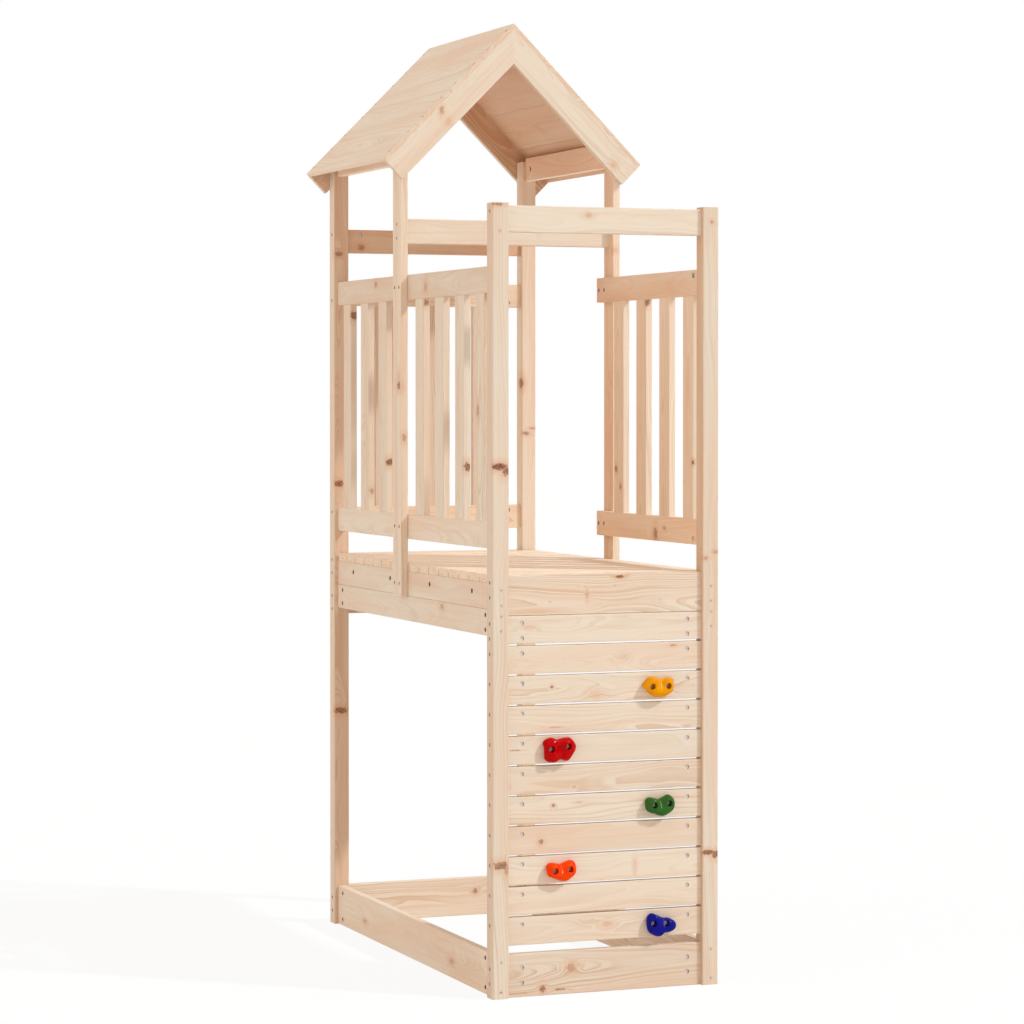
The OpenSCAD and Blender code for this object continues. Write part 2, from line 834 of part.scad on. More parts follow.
// Roof: bevelled boards, mitred at the ridge, over barge boards and eave plates
module roof_board_profile(i) {
    x0 = i * roof_board_w;
    x1 = x0 + roof_board_w - roof_joint;
    low0 = i == 0 ? roof_board_t * tan(roof_pitch) : x0;
    top0 = i == 0 ? [[0, 0]] : [[x0, -roof_bevel], [x0 + roof_bevel, 0]];
    polygon(concat(top0, [[x1 - roof_bevel, 0], [x1, -roof_bevel],
        [x1, -roof_board_t], [low0, -roof_board_t]]));
}

module roof_boards(side) {
    color(PINE) stand() difference() {
        slope(side) for (i = [0:roof_board_n - 1])
            along_y(roof_front_y, roof_back_y) roof_board_profile(i);
        roof_screw_places() screw_hole(roof_screw_l);
    }
}

module barge_profile() {
    low = -roof_board_t - barge_w;
    polygon([[roof_board_t * tan(roof_pitch), -roof_board_t], [slope_l, -roof_board_t],
        [slope_l, low], [-low * tan(roof_pitch), low]]);
}

module barge_board(side, y0) {
    color(PINE) stand() difference() {
        slope(side) along_y(y0, y0 + barge_t) barge_profile();
        roof_screw_places() screw_hole(roof_screw_l);
        eave_screw_places() screw_hole(eave_screw_l);
        barge_screw_places() screw_hole(barge_screw_l);
    }
}

module roof_boards_left() {
    roof_boards(-1);
}

module roof_boards_right() {
    roof_boards(1);
}

module barge_board_front_left() {
    barge_board(-1, roof_front_y);
}

module barge_board_front_right() {
    barge_board(1, roof_front_y);
}

module barge_board_back_left() {
    barge_board(-1, frame_d);
}

module barge_board_back_right() {
    barge_board(1, frame_d);
}

module eave_plate(side) {
    y0 = roof_post_y;
    y1 = frame_d - post_w;
    color(PINE_SHADE) stand() difference() {
        translate([side * post_x, (y0 + y1) / 2, eave_z + rail_h / 2])
            bar_y(y1 - y0, board_t, rail_h);
        side_holes(EAVE_ROW, REAR);
        eave_screw_places() screw_hole(eave_screw_l);
    }
}

module eave_plate_left() {
    eave_plate(-1);
}

module eave_plate_right() {
    eave_plate(1);
}

// Climbing holds: a closed curve through the outline points, drawn in towards
// the crown ring by ring, with two recessed bolt holes
hold_steps = 4;
HOLD_RINGS = [[0, 0.96], [0.25, 1], [0.55, 0.98], [0.78, 0.91], [0.93, 0.78], [1, 0.6]];

function spline_at(a, b, c, d, t) = 0.5 * (2 * b + (c - a) * t
    + (2 * a - 5 * b + 4 * c - d) * t * t + (3 * b - a - 3 * c + d) * t * t * t);
function closed_spline(p) = let (n = len(p)) [for (i = [0:n - 1], k = [0:hold_steps - 1])
    spline_at(p[(i + n - 1) % n], p[i], p[(i + 1) % n], p[(i + 2) % n], k / hold_steps)];

module pebble(outline) {
    ring = closed_spline(outline);
    n = len(ring);
    m = len(HOLD_RINGS);
    points = concat([for (r = HOLD_RINGS, p = ring) [r[1] * p[0], -r[0] * hold_h, r[1] * p[1]]],
        [[0, 0, 0], [0, -hold_h, 0]]);
    walls = [for (j = [0:m - 2], i = [0:n - 1]) let (a = j * n + i, b = j * n + (i + 1) % n)
        each [[a, b, b + n], [a, b + n, a + n]]];
    base = [for (i = [0:n - 1]) [(i + 1) % n, i, n * m]];
    crown = [for (i = [0:n - 1]) [(m - 1) * n + i, (m - 1) * n + (i + 1) % n, n * m + 1]];
    polyhedron(points, concat(walls, base, crown), convexity = 6);
}

module hold(i, outline, colour) {
    color(colour) stand() difference() {
        translate([hold_x(i), board_set, hold_z(i)]) pebble(outline);
        for (p = HOLD_BOLTS[i])
            translate([hold_x(i) + p[0], board_set + cut, hold_z(i) + p[1]]) from_back() {
                cylinder(h = hold_h + 2 * cut, d = bolt_d + 2 * play);
                translate([0, 0, hold_floor + cut]) cylinder(h = hold_h, d = hold_recess_d);
            }
    }
}

module hold_yellow() {
    hold(0, HOLD_YELLOW, YELLOW);
}

module hold_red() {
    hold(1, HOLD_RED, RED);
}

module hold_green() {
    hold(2, HOLD_GREEN, GREEN);
}

module hold_orange() {
    hold(3, HOLD_ORANGE, ORANGE);
}

module hold_blue() {
    hold(4, HOLD_BLUE, BLUE);
}

// Fasteners in groups
module frame_bolts() {
    color(ZINC) stand() {
        for (row = FRONT_ROWS) row_bolt_places(row, front_y) bolt(bolt_l_x);
        for (row = BACK_ROWS) row_bolt_places(row, back_y) bolt(bolt_l_x);
        for (row = SIDE_ROWS) side_bolt_places(row, BOTH) bolt(bolt_l_x);
        side_bolt_places(EAVE_ROW, REAR) bolt(bolt_l_x);
        roof_bolt_places() bolt(roof_bolt_l);
    }
}

module frame_nuts() {
    color(ZINC) stand() {
        for (row = FRONT_ROWS) row_nut_places(row, front_y, 1) nut();
        for (row = BACK_ROWS) row_nut_places(row, back_y, -1) nut();
        for (row = SIDE_ROWS) side_nut_places(row, BOTH) nut();
        side_nut_places(EAVE_ROW, REAR) nut();
        roof_nut_places() translate([0, 0, bolt_sink]) difference() {
            cylinder(h = roof_nut_h, d = nut_d);
            translate([0, 0, nut_skin - bolt_sink])
                cylinder(h = roof_nut_h, d = bolt_d + 2 * play);
        }
    }
}

module dowels() {
    color(PINE) stand() {
        for (row = FRONT_ROWS) row_dowel_places(row, front_y) dowel();
        for (row = BACK_ROWS) row_dowel_places(row, back_y) dowel();
        for (s = [-1, 1]) side_slat_dowels(s) dowel();
        back_slat_dowels() dowel();
    }
}

module dowel() {
    cylinder(h = dowel_l, d = dowel_d, center = true);
}

module wood_screws() {
    color(ZINC) stand() {
        cross_screw_places() screw(post_screw_l);
        cleat_screw_places() screw(cleat_screw_l);
        joist_screw_places() screw(joist_screw_l);
        deck_screw_places() screw(deck_screw_l);
        roof_screw_places() screw(roof_screw_l);
        eave_screw_places() screw(eave_screw_l);
        barge_screw_places() screw(barge_screw_l);
        pocket_places() translate([0, 0, pocket_sink]) screw(pocket_screw_l);
    }
}

module hold_fixings() {
    color(ZINC) stand() {
        hold_bolt_places() translate([0, 0, -hold_bolt_head_h])
            bolt(hold_bolt_l, hold_bolt_head_d, hold_bolt_head_h);
        hold_nut_places() difference() {
            cylinder(h = hold_nut_h, d = hold_nut_d);
            translate([0, 0, -cut]) cylinder(h = hold_nut_h + 2 * cut, d = bolt_d + 2 * play);
        }
    }
}

post_front_left();
post_front_right();
post_back_left();
post_back_right();
roof_post_left();
roof_post_right();
base_rail_left();
base_rail_right();
base_rail_back();
base_board_front();
deck_beam_upper_left();
deck_beam_upper_right();
deck_beam_lower_left();
deck_beam_lower_right();
deck_fascia_front();
deck_fascia_back();
deck_board_back();
deck_bearers();
deck_planks();
climbing_board(0);  // climbing_board_01
climbing_board(1);  // climbing_board_02
climbing_board(2);  // climbing_board_03
climbing_board(3);  // climbing_board_04
climbing_board(4);  // climbing_board_05
climbing_board(5);  // climbing_board_06
climbing_board(6);  // climbing_board_07
climbing_board(7);  // climbing_board_08
climbing_board(8);  // climbing_board_09
climbing_board(9);  // climbing_board_10
climbing_board(10);  // climbing_board_11
top_rail_front();
top_rail_roof();
top_rail_back();
railing_left_top_rail();
railing_left_bottom_rail();
railing_left_slats();
railing_right_top_rail();
railing_right_bottom_rail();
railing_right_slats();
railing_back_top_rail();
railing_back_bottom_rail();
railing_back_slats();
roof_boards_left();
roof_boards_right();
barge_board_front_left();
barge_board_front_right();
barge_board_back_left();
barge_board_back_right();
eave_plate_left();
eave_plate_right();
hold_yellow();
hold_red();
hold_green();
hold_orange();
hold_blue();
frame_bolts();
frame_nuts();
dowels();
wood_screws();
hold_fixings();
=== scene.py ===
import random
from math import radians

import bpy
from mathutils import Euler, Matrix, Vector


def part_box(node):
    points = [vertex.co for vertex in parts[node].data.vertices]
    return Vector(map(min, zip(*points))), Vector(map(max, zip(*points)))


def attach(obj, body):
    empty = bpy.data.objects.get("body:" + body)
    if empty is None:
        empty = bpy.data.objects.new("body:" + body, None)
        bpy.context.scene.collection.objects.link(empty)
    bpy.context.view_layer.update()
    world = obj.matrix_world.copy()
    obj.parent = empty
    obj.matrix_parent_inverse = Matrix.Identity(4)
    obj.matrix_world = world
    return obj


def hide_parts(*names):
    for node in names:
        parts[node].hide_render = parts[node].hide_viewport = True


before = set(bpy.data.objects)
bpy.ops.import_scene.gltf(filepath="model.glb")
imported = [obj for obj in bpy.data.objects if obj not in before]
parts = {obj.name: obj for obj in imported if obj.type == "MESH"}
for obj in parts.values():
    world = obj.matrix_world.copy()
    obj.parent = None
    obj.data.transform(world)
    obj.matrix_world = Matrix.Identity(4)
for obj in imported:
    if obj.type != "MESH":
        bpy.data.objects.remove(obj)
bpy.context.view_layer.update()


# Corner posts: square pine, planed on four sides with eased edges and sawn off square.
# Two short ones hold the climbing wall, two tall ones at the back also carry the roof.
class Wire:
    """One output in a material's node tree. Sums on wires add Math nodes to that tree."""

    def __init__(self, tree, socket=None):
        self.tree = tree
        self.socket = socket

    def node(self, kind, settings=None, sockets=None, out=0):
        """Adds a node, makes its settings, then gives its sockets their values or wires."""
        made = self.tree.nodes.new("ShaderNode" + kind)
        for name, value in (settings or {}).items():
            setattr(made, name, value)
        for key, value in (sockets or {}).items():
            if isinstance(value, Wire):
                self.tree.links.new(value.socket, made.inputs[key])
            else:
                made.inputs[key].default_value = value
        return Wire(self.tree, made.outputs[out]) if made.outputs else None

    def split(self):
        """The three parts of a place or a colour."""
        parted = self.node("SeparateXYZ", sockets={0: self}).socket.node
        return [Wire(self.tree, output) for output in parted.outputs]

    def reckon(self, operation, *terms):
        """A sum by one Math node."""
        return self.node("Math", {"operation": operation}, dict(enumerate(terms)))

    def __add__(self, other):
        return self.reckon("ADD", self, other)

    def __radd__(self, other):
        return self.reckon("ADD", other, self)

    def __sub__(self, other):
        return self.reckon("SUBTRACT", self, other)

    def __rsub__(self, other):
        return self.reckon("SUBTRACT", other, self)

    def __mul__(self, other):
        return self.reckon("MULTIPLY", self, other)

    def __rmul__(self, other):
        return self.reckon("MULTIPLY", other, self)

    def __truediv__(self, other):
        return self.reckon("DIVIDE", self, other)

    def __pow__(self, other):
        return self.reckon("POWER", self, other)

    def step(self, start, end):
        """0 before start, 1 after end, with a soft change between them."""
        return self.node("MapRange", {"interpolation_type": "SMOOTHSTEP"},
                         {"Value": self, "From Min": start, "From Max": end})

    def noise(self, stretch, detail=2.0, out=0):
        """Soft noise at a place, with more or fewer waves to the metre each way."""
        at = self.node("VectorMath", {"operation": "MULTIPLY"}, {0: self, 1: stretch})
        return self.node("TexNoise", sockets={"Vector": at, "Scale": 1.0, "Detail": detail}, out=out)

    def blend(self, share, first, second):
        """A mix of two colours."""
        return self.node("Mix", {"data_type": "RGBA"}, {0: share, 6: first, 7: second}, out=2)

    def shade(self, amount):
        """A colour made lighter or darker."""
        return self.node("VectorMath", {"operation": "SCALE"}, {0: self, "Scale": amount})


def tone(red, green, blue):
    """A colour as the eye reads it from 0 to 255, in the linear light of the shaders."""
    levels = [value / 255 for value in (red, green, blue)]
    light = [v / 12.92 if v <= 0.04045 else ((v + 0.055) / 1.055) ** 2.4 for v in levels]
    return (*light, 1.0)


def turn(x, y, z):
    """A turn about each axis in degrees, as Blender takes it."""
    return (radians(x), radians(y), radians(z))


def new_material(name):
    """A material with an empty node tree, and the wire that its nodes are added from."""
    material = bpy.data.materials.new(name)
    material.use_nodes = True
    material.node_tree.nodes.clear()
    return material, Wire(material.node_tree)


EARLY_WOOD = tone(225, 210, 189)
LATE_WOOD = tone(196, 153, 114)
HEARTWOOD = tone(219, 184, 154)
KNOT = tone(66, 34, 20)
KNOT_HEART = tone(164, 102, 62)
KNOT_HALO = tone(208, 150, 106)
END_GRAIN = tone(204, 160, 121)
# Painted warm shade: the tint of light bounced between boards, laid on the side towards the pith
PAINTED_WARM_SHADE_TINT = (0.96, 0.79, 0.68, 1.0)
# How much the log narrows along its length, and the least and most width of a year ring
TAPER = 0.007
RING_WIDTHS = (0.0034, 0.0056)
# Waves to the metre along the grain, across it and into the board
WILD_KNOT = (3.4, 8.0, 8.0)
HEART_SWAY = (1.9, 6.0, 6.0)
RING_WOBBLE = (8.0, 70.0, 70.0)
WARM_BANDS = (2.4, 15.0, 15.0)
RING_FADING = (1.6, 24.0, 24.0)
FIBRES = (16.0, 620.0, 620.0)
STREAKS = (2.6, 95.0, 95.0)
# Waves to the metre in x, y and z at a knot
KNOT_EDGE = (190, 190, 190)
KNOT_BLOTCHES = (330, 330, 480)
# How far inside the faces a hole's wall starts to take painted shade and is fully shaded
HOLE_MOUTH = (0.0007, 0.0017)
GRAIN_RELIEF = 0.0005


def pine(node, lay, pith, warm=0.4, light=1.0, figure=0.75, painted_hole_shade=0.6, knots=(), wild=0.8,
         painted_warm_shade=0.2, sawn=0.15, spacing=0.0, count=1, middle=None):
    """Pine for one board or a row of like boards. lay turns x along the grain and z out of the face,
    pith is where the heart of the tree runs beside the board: across it and behind its face.
    painted_warm_shade is how much redder the side towards it is painted, as warm shade of light bounced
    between boards, sawn how much darker the ends are.
    A knot is its place, its three half sizes and how dark it is."""
    luck = random.Random(node)
    material, start = new_material("pine_" + node)
    laid = Euler(lay).to_matrix()
    low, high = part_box(node)
    middle = middle or (low + high) / 2
    place = start.node("TexCoord", out="Object")
    local = start.node("Mapping", {"vector_type": "TEXTURE"},
                       {"Vector": place, "Location": middle, "Rotation": lay})
    along, across, depth = local.split()

    # Each board of a row comes from another log, so it reads another stretch of the pattern
    chance = [luck.random() for draw in range(3)]
    if spacing:
        first = (count - 1) / 2
        number = across / spacing + first
        number = number.reckon("ROUND", number)
        across = across - (number - first) * spacing
        drawn = start.node("TexWhiteNoise", {"noise_dimensions": "1D"},
                           {"W": number + luck.randint(1, 90)}, out=1)
        chance = drawn.split()
    shifted = start.node("CombineXYZ", sockets={0: along + chance[0] * 9.0,
                                                1: across + (chance[1] - 0.5) * 0.04, 2: depth})

    # Knots: ragged ovals where branches left the log, with the rings bent round them
    ragged = (place.noise(KNOT_EDGE, 4.0) - 0.5) * 1.5
    blotch = place.noise(KNOT_BLOTCHES, 3.0)
    found = []
    for x, y, z, wide, deep, tall, dark in knots:
        off = start.node("VectorMath", {"operation": "SUBTRACT"}, {0: place, 1: (x, y, z)})
        off = start.node("VectorMath", {"operation": "DIVIDE"}, {0: off, 1: (wide, deep, tall)})
        found.append((start.node("VectorMath", {"operation": "LENGTH"}, {0: off}, out="Value"), dark))
    if wild:
        cell = start.node("VectorMath", {"operation": "MULTIPLY"}, {0: shifted, 1: WILD_KNOT})
        branch = start.node("TexVoronoi", sockets={"Vector": cell, "Scale": 1.0})
        dark = Wire(start.tree, branch.socket.node.outputs["Color"]).split()[0]
        found.append((branch / (0.045 * wild), dark * 0.8))
    core = halo = ragged * 0.0
    for gap, dark in found:
        core = core.reckon("MAXIMUM", core, (gap + ragged).step(1.3, 0.6) * dark)
        halo = halo.reckon("MAXIMUM", halo, gap.step(3.2, 0.7) * (dark * 0.7 + 0.3))

    # Year rings round a heart that wanders along the log
    sway, sway_depth = shifted.noise(HEART_SWAY, out=1).split()[:2]
    from_heart = across - pith[0] + (sway - 0.5) * 0.05
    from_face = depth - pith[1] + (sway_depth - 0.5) * 0.045
    radius = (from_heart * from_heart + from_face * from_face) ** 0.5
    wobble = (shifted.noise(RING_WOBBLE) - 0.5) * 0.0022
    radius = radius + along * TAPER + halo * 0.005 + wobble
    uneven = start.node("TexNoise", {"noise_dimensions": "1D"}, {"W": radius * 75.0, "Detail": 1.0})
    rings = radius / luck.uniform(*RING_WIDTHS) + uneven * 1.8
    turned = rings.reckon("FRACT", rings)
    late = turned.step(0.3, 0.92) * turned.step(1.0, 0.93)

    # Pale early wood, darker late wood, warm bands and streaks, and painted warm shade on the side towards
    # the pith
    broad = shifted.noise(WARM_BANDS, 3.0)
    fading = shifted.noise(RING_FADING).step(0.34, 0.66)
    fibre = shifted.noise(FIBRES)
    streak = shifted.noise(STREAKS, 4.0)
    colour = start.blend(late * (fading * 0.7 + 0.2) * figure, EARLY_WOOD, LATE_WOOD)
    colour = start.blend(streak.step(0.5, 0.78) * 0.5, colour, HEARTWOOD)
    colour = start.blend(broad.step(0.3, 0.75) * (chance[2] * 0.5 + 0.35) * warm * 1.6, colour, HEARTWOOD)
    colour = colour.shade((fibre * 0.09 + broad * 0.06 + 0.925) * light)
    facing = start.node("TexCoord", out="Normal")
    # Painted warm shade: faces turned towards the pith are tinted redder, standing in for light bounced
    # between boards
    to_heart = laid @ Vector((0, *pith)).normalized()
    inwards = start.node("VectorMath", {"operation": "DOT_PRODUCT"}, {0: facing, 1: to_heart}, out="Value")
    colour = start.node("Mix", {"data_type": "RGBA", "blend_type": "MULTIPLY"},
                        {0: inwards.step(0.35, 0.8) * painted_warm_shade, 6: colour, 7: PAINTED_WARM_SHADE_TINT}, out=2)
    colour = start.blend(halo * 0.45, colour, KNOT_HALO)
    knot_wood = start.blend(blotch.step(0.44, 0.6), KNOT_HEART, KNOT)
    colour = start.blend(core, colour, start.blend(core.step(0.25, 0.6), KNOT_HALO, knot_wood))

    # Sawn ends drink in more light than the planed faces, and the walls of drilled holes are darkened with
    # painted shade
    grain = laid @ Vector((1, 0, 0))
    aligned = start.node("VectorMath", {"operation": "DOT_PRODUCT"}, {0: facing, 1: grain}, out="Value")
    ends = aligned.reckon("ABSOLUTE", aligned).step(0.75, 0.95)
    colour = start.blend(ends * (late * 0.3 + sawn), colour, END_GRAIN)
    # Painted shade on the walls of drilled holes and pockets, deeper than their mouths
    if painted_hole_shade and not spacing:
        half = laid.transposed() @ ((high - low) / 2)
        inside = 1.0
        for line, reach in zip((along, across, depth), half):
            inside = inside * (abs(reach) - line.reckon("ABSOLUTE", line)).step(*HOLE_MOUTH)
        colour = colour.shade(1.0 - inside * painted_hole_shade)

    relief = start.node("Bump", sockets={"Strength": 0.2, "Distance": GRAIN_RELIEF,
                                         "Height": fibre * 0.6 + late * 0.4 - core * 0.5})
    shader = start.node("BsdfPrincipled", sockets={
        "Base Color": colour, "Roughness": fibre * 0.16 + ends * 0.15 + 0.5,
        "Specular IOR Level": 0.35, "Normal": relief})
    start.node("OutputMaterial", sockets={"Surface": shader})
    dress(node, material)


def dress(node, material):
    """Gives a piece of the frame its material."""
    for slot in parts[node].material_slots:
        slot.material = material


UPRIGHT = turn(0, -90, 0)
POST_FACE = -0.559
pine("post_front_left", UPRIGHT, (0.03, 0.05), warm=0.5, light=0.95, figure=0.5, painted_warm_shade=0.4, sawn=0.65,
     wild=0, knots=[
    (-0.248, POST_FACE, 1.132, 0.018, 0.009, 0.008, 1.0),
    (-0.233, POST_FACE, 1.122, 0.009, 0.008, 0.011, 0.8),
    (-0.244, POST_FACE, 0.284, 0.019, 0.009, 0.009, 0.75),
    (-0.231, POST_FACE, 0.272, 0.005, 0.008, 0.012, 0.5),
    (-0.2462, POST_FACE, 1.631, 0.003, 0.004, 0.003, 0.4),
    (-0.2506, POST_FACE, 1.687, 0.014, 0.009, 0.004, 0.6)])
pine("post_front_right", UPRIGHT, (0.028, 0.05), warm=0.5, light=0.95, figure=0.5, painted_warm_shade=1.0, sawn=0.5,
     wild=0, knots=[
    (0.238, POST_FACE, 0.289, 0.014, 0.009, 0.006, 0.9),
    (0.256, POST_FACE, 0.284, 0.009, 0.008, 0.008, 0.85),
    (0.2328, POST_FACE, 0.9295, 0.007, 0.008, 0.0045, 0.5),
    (0.2564, POST_FACE, 0.9424, 0.008, 0.008, 0.004, 0.45),
    (0.246, POST_FACE, 1.659, 0.004, 0.004, 0.004, 0.5)])
BACK_POST_FACE = 0.522
pine("post_back_left", UPRIGHT, (-0.05, 0.012), figure=0.5, painted_warm_shade=0.8, wild=0, knots=[
    (-0.2506, BACK_POST_FACE, 1.0705, 0.013, 0.008, 0.008, 0.9),
    (-0.2463, BACK_POST_FACE, 0.519, 0.018, 0.009, 0.008, 0.8),
    (-0.2513, BACK_POST_FACE, 1.6267, 0.011, 0.008, 0.006, 0.6)])
pine("post_back_right", UPRIGHT, (0.034, -0.05), warm=0.6, light=1.1, figure=0.5, wild=0, knots=[
    (0.2255, 0.5288, 1.315, 0.006, 0.012, 0.013, 0.75),
    (0.236, BACK_POST_FACE, 1.19, 0.009, 0.006, 0.005, 0.6),
    (0.2523, BACK_POST_FACE, 1.2025, 0.009, 0.006, 0.003, 0.45)])


# Roof posts: two upright pine boards, bolted to the outside of the railings and the deck.
# They carry the front of the roof, half way back along the deck.
pine("roof_post_left", UPRIGHT, (-0.05, -0.02), light=1.05, painted_warm_shade=0.3, wild=0, knots=[
    (-0.271, 0.0225, 1.306, 0.006, 0.010, 0.010, 0.8),
    (-0.271, 0.0225, 1.326, 0.005, 0.006, 0.012, 0.35),
    (-0.2616, 0.0092, 1.1869, 0.006, 0.006, 0.009, 0.5)])
pine("roof_post_right", UPRIGHT, (-0.016, 0.05), light=1.13, painted_warm_shade=0.9, wild=0, knots=[
    (0.2564, 0.0092, 1.6221, 0.008, 0.006, 0.006, 0.3)])


# Boards at the foot: a wide pine board under the climbing wall and three rails between the posts.
# They stand on edge on the ground and are bolted through the posts into barrel nuts.
FACING_FRONT = turn(90, 0, 0)
FACING_LEFT = turn(90, 0, -90)
FACING_RIGHT = turn(90, 0, 90)
FACING_BACK = turn(90, 0, 180)
WALL_FACE = -0.549
LEFT_FACE = -0.253
pine("base_board_front", FACING_FRONT, (0.012, -0.03), warm=0.75, light=0.92, figure=0.8, wild=0, knots=[
    (-0.1453, WALL_FACE, 0.0146, 0.007, 0.02, 0.008, 0.75),
    (-0.1066, WALL_FACE, 0.011, 0.013, 0.02, 0.0025, 0.65),
    (-0.2, WALL_FACE, 0.008, 0.03, 0.02, 0.002, 0.4),
    (-0.0789, WALL_FACE, 0.0567, 0.011, 0.02, 0.01, 0.48),
    (-0.063, WALL_FACE, 0.061, 0.007, 0.02, 0.004, 0.3)])
pine("base_rail_left", FACING_LEFT, (0.01, -0.08), warm=0.5, light=1.09, figure=0.3, painted_hole_shade=0.85,
     wild=0, knots=[(LEFT_FACE, 0.3214, 0.0361, 0.02, 0.014, 0.006, 0.45),
                    (LEFT_FACE, -0.2785, 0.0361, 0.02, 0.016, 0.007, 0.45)])
pine("base_rail_right", FACING_RIGHT, (-0.012, -0.05))
pine("base_rail_back", FACING_BACK, (0.0, -0.07), warm=0.5, light=1.05, painted_warm_shade=0, wild=0, knots=[
    (0.1053, 0.531, 0.0594, 0.007, 0.008, 0.006, 0.65)])


# Deck frame: two pine boards stacked on edge on each side, a fascia at both ends and a lower back board.
# Inside, cleats and joists hidden under the planks are screwed to them.
pine("deck_beam_upper_left", FACING_LEFT, (0.008, -0.09), warm=0.9, figure=0.25, painted_hole_shade=0.85)
pine("deck_beam_upper_right", FACING_RIGHT, (0.008, -0.05))
pine("deck_beam_lower_left", FACING_LEFT, (-0.01, -0.09), warm=0.8, figure=0.25, painted_hole_shade=0.85, wild=0, knots=[
    (LEFT_FACE, -0.217, 0.815, 0.02, 0.014, 0.007, 0.45)])
pine("deck_beam_lower_right", FACING_RIGHT, (-0.01, -0.05))
pine("deck_fascia_front", FACING_FRONT, (-0.03, -0.045), warm=0.35, figure=0.85, painted_hole_shade=0.3, wild=0, knots=[
    (0.0343, WALL_FACE, 0.893, 0.010, 0.02, 0.004, 0.9),
    (-0.0428, WALL_FACE, 0.8567, 0.003, 0.02, 0.009, 0.4),
    (-0.015, WALL_FACE, 0.872, 0.022, 0.02, 0.0012, 0.28),
    (-0.165, WALL_FACE, 0.822, 0.045, 0.02, 0.0045, 0.25)])
pine("deck_fascia_back", FACING_BACK, (0.01, -0.04))
pine("deck_board_back", FACING_BACK, (-0.01, -0.05))
LENGTHWAYS = turn(0, 0, -90)
BEARER_SPACING = 0.128
pine("deck_bearers", LENGTHWAYS, (0.02, -0.05), spacing=BEARER_SPACING, count=5)


# Deck planks: sixteen planed pine planks across the deck, with open joints to let the rain through.
# They lie on the cleats and joists and are screwed down from above.
CROSSWAYS = turn(0, 0, 0)
PLANK_SPACING = 0.065
pine("deck_planks", CROSSWAYS, (0.006, -0.05), warm=0.25, light=1.17,
     spacing=PLANK_SPACING, count=16)


# Climbing wall: eleven pine boards on edge between the front posts with see-through joints.
# Each is bolted at both ends into a barrel nut, and every second one from the third carries a hold.
# How much painted shade goes into the holes of the climbing boards
WALL_HOLE_SHADE = 0.1
# Each board's heart, warmth, lightness, figure and knots
WALL_BOARDS = {
    1: ((0.012, -0.06), 0.15, 1.0, 0.45, [(-0.175, WALL_FACE, 0.789, 0.015, 0.02, 0.004, 0.25)]),
    2: ((-0.02, -0.06), 0.5, 1.0, 0.3, [(0.160, WALL_FACE, 0.7415, 0.008, 0.02, 0.003, 0.5),
                                        (0.0419, WALL_FACE, 0.7197, 0.01, 0.02, 0.006, 0.15)]),
    3: ((0.004, -0.03), 0.1, 0.99, 0.7, [(-0.1237, WALL_FACE, 0.660, 0.0035, 0.02, 0.0035, 0.7),
                                        (-0.023, WALL_FACE, 0.640, 0.014, 0.02, 0.009, 0.2)]),
    4: ((-0.03, -0.05), 0.3, 1.0, 0.55, [(-0.114, WALL_FACE, 0.5735, 0.014, 0.02, 0.0012, 0.5),
                                          (0.1914, WALL_FACE, 0.5655, 0.006, 0.02, 0.002, 0.35)]),
    5: ((0.02, -0.07), 0.5, 0.97, 0.3, [(-0.206, WALL_FACE, 0.5274, 0.016, 0.02, 0.0012, 0.6)]),
    6: ((-0.01, -0.05), 0.65, 0.98, 0.55, [(-0.0727, WALL_FACE, 0.4443, 0.0035, 0.02, 0.002, 0.5)]),
    7: ((0.02, -0.045), 0.4, 0.99, 0.75, [(-0.1204, WALL_FACE, 0.4057, 0.004, 0.02, 0.0035, 0.65),
                                         (-0.062, WALL_FACE, 0.4104, 0.008, 0.02, 0.0015, 0.45)]),
    8: ((0.016, -0.06), 0.55, 0.98, 0.35, [(-0.1494, WALL_FACE, 0.3298, 0.0065, 0.02, 0.0055, 0.65)]),
    9: ((-0.008, -0.05), 0.25, 1.0, 0.5, [(0.0693, WALL_FACE, 0.2709, 0.004, 0.02, 0.011, 0.25)]),
    10: ((0.012, -0.06), 0.3, 1.0, 0.35, []),
    11: ((-0.004, -0.05), 0.5, 0.98, 0.5, [(0.0047, WALL_FACE, 0.1448, 0.012, 0.02, 0.006, 0.35),
                                          (-0.03, WALL_FACE, 0.152, 0.02, 0.02, 0.003, 0.2)]),
}
for number, (pith, warm, light, figure, knots) in WALL_BOARDS.items():
    pine(f"climbing_board_{number:02d}", FACING_FRONT, pith, warm, light, figure, painted_hole_shade=WALL_HOLE_SHADE,
         knots=knots, wild=0)


# Climbing holds: five lobed stones moulded in glossy coloured plastic, each with two recessed bolts.
# They sit flat on their boards, two columns by turns, and their crowns are scooped between the lobes.
HOLD_RIGHT = 0.125
HOLD_LEFT = -0.107
HOLD_HEIGHT = 0.025
HOLD_FLOOR = 0.006
RECESS_RADIUS = 0.0065
RECESS_DRILL = 0.03
SHANK_RADIUS = 0.0032
SHANK_START = 0.05
SHANK_DRILL = 0.06
DRILL_SIDES = 64
SCOOP = 0.009
SCOOP_WIDE = 0.010
SCOOP_TALL = 0.017
NATURAL_BASE = 2.718
CURVE_STEPS = 8
MOULD_GRAIN = 0.0008
# Waves to the metre of the cloudy colour and of the fine skin left by the mould
PLASTIC_CLOUD = (70, 70, 70)
MOULD_SKIN = (900, 900, 900)
# How far the wall has risen and how far it is drawn in, ring by ring from the board to the crown
HOLD_RINGS = [(0.0, 0.96), (0.12, 0.99), (0.3, 1.0), (0.48, 0.975), (0.63, 0.93), (0.76, 0.86),
              (0.86, 0.77), (0.93, 0.66), (0.975, 0.52), (0.995, 0.35), (1.0, 0.17)]


